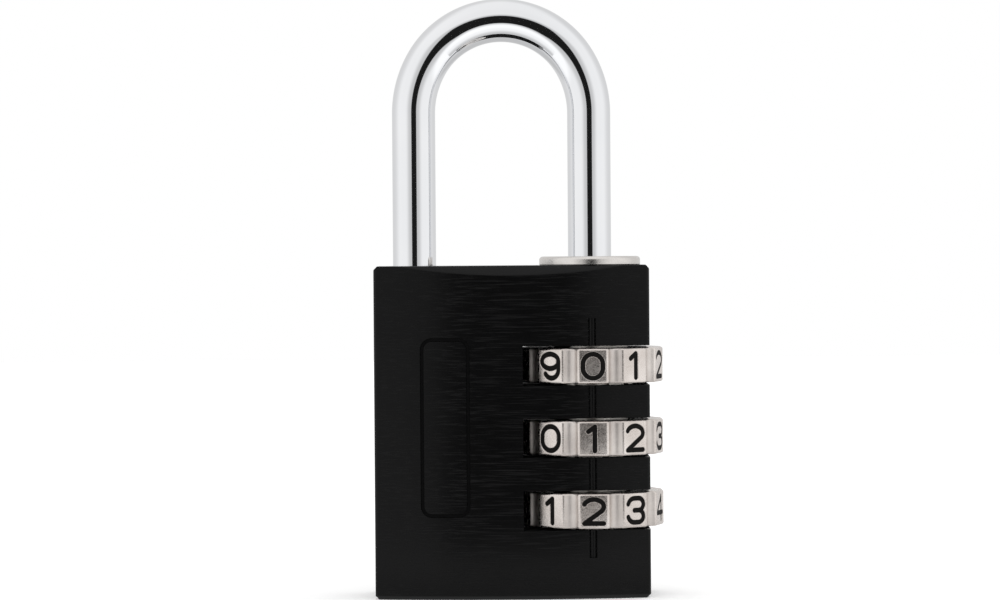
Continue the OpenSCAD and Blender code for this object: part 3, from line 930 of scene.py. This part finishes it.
def wheel_blank(i):
    """A wheel with its bore and teeth, before its numbers are cut."""
    low, high = wheel_box(i)
    outline = wheel_outline()
    steps = 5
    turns = [math.pi / 2 * k / steps for k in range(steps + 1)]
    rounds = [(WHEEL_ROUND * (1 - math.sin(t)), WHEEL_ROUND * (1 - math.cos(t))) for t in turns]
    levels = ([(low + up, inset) for up, inset in rounds[::-1]]
              + [(high - down, inset) for down, inset in rounds])
    centre = Vector((AXIS_X, 0, 0))
    bm = bmesh.new()

    def ring(points, z):
        return [bm.verts.new(centre + Vector((p.x, p.y, z))) for p in points]

    def around(radius):
        return [Vector((p.x, p.y, 0)).normalized() * radius for p in outline]

    rings = [ring([p * (1 - inset / WHEEL_R) for p in outline], z) for z, inset in levels]
    rings += [ring(around(radius), z) for radius, z in
              ((WHEEL_BORE_R + WHEEL_FLARE, high), (WHEEL_BORE_R, high - WHEEL_FLARE),
               (WHEEL_BORE_R, low + WHEEL_FLARE), (WHEEL_BORE_R + WHEEL_FLARE, low))]
    walls(bm, rings + rings[:1])
    blank = to_object(f"padlock_wheel_{i}", bm)
    bm = bmesh.new()
    middle = (low + high) / 2
    corners = ((TOOTH_TIP_R, -1), (TOOTH_ROOT_R, -1), (TOOTH_ROOT_R, 1), (TOOTH_TIP_R, 1))
    for a in spread(2 * math.pi, TEETH):
        out, along = radial(a)
        loft(bm, [[centre + out * r + along * (s * TOOTH_W / 2) + Vector((0, 0, z))
                   for r, s in corners] for z in (middle - TOOTH_H / 2, middle + TOOTH_H / 2)])
    boolean(blank, to_object("teeth", bm), "UNION")
    return blank


def number_wheel(i, metal, cast, paint):
    """A wheel with its scallops left as cast, and the paint in its numbers."""
    wheel = wheel_blank(i)
    boolean(wheel, digits_object("numbers", i, DIGIT_LEVELS))
    smooth(wheel, 28)
    settle(wheel, f"wheel_{i}", metal, "wheel_nickel", f"number_wheel_{i}")
    wheel.data.materials.append(cast)
    for polygon in wheel.data.polygons:
        x, y = (polygon.center / MM).xy
        turn = math.atan2(y, x - AXIS_X) / STEP
        if (abs(turn - round(turn)) * STEP < CAST_HALF and abs(polygon.normal.z) < 0.7
                and math.hypot(x - AXIS_X, y) > SCALLOP_AT - SCALLOP_R - 0.1):
            polygon.material_index = 1
    fill = digits_object(f"padlock_numbers_{i}", i, PAINT_LEVELS)
    smooth(fill, 40)
    settle(fill, f"wheel_{i}", paint, "digit_paint", f"digit_fill_{i}")


def sleeve_spring(material):
    """The coil under the sleeves."""
    low, high = box_mm("sleeve_spring")
    rise = high.z - low.z - 2 * SPRING_WIRE_R
    count = 180
    loops = []
    for k in range(count + 1):
        out = radial(2 * math.pi * SPRING_TURNS * k / count)[0]
        middle = Vector((AXIS_X, 0, low.z + SPRING_WIRE_R + rise * k / count))
        middle += out * SPRING_COIL_R
        radius = SPRING_WIRE_R if 0 < k < count else SPRING_WIRE_R * 0.85
        loops.append([middle + radius * (out * math.cos(b) + Vector((0, 0, math.sin(b))))
                      for b in spread(2 * math.pi, 24)])
    bm = bmesh.new()
    loft(bm, loops)
    obj = to_object("padlock_spring", bm)
    smooth(obj)
    settle(obj, "lock", material, "spring_steel", "sleeve_spring")
    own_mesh(obj)


# ---------------------------------------------------------------- the scene

camera()
world()
reflections()
floor()
table_front()

black = anodised()
steel = spring_steel()
plated = plated_brass()
wheel_metal = nickel("satin_nickel", (0.58, 0.52, 0.48), (0.88, 0.82, 0.78), 0.2, 0.34, 0.012)
cast_metal = nickel("cast_nickel", (0.56, 0.51, 0.48), (0.80, 0.75, 0.71), 0.36, 0.5, 0.012)
collar_metal = nickel("turned_nickel", (0.70, 0.67, 0.64), (0.80, 0.77, 0.74), 0.2, 0.3, 0.003)
paint_black = digit_paint()

lock_body(black, body_inside())
shackle(chrome())
collar(collar_metal)
for wheel_id in WHEEL_IDS:
    number_wheel(wheel_id, wheel_metal, cast_metal, paint_black)
sleeve_spring(steel)

kept = {"detent_bore_plug": black, "detent_spring": steel, "spacer_tube": plated,
        "thrust_washer": steel}
for wheel_id in WHEEL_IDS:
    kept[f"lug_pin_{wheel_id}"] = steel
    kept[f"code_sleeve_{wheel_id}"] = plated
for name, finish in kept.items():
    mesh = frame["nodes"][name].data
    mesh.materials.clear()
    mesh.materials.append(finish)
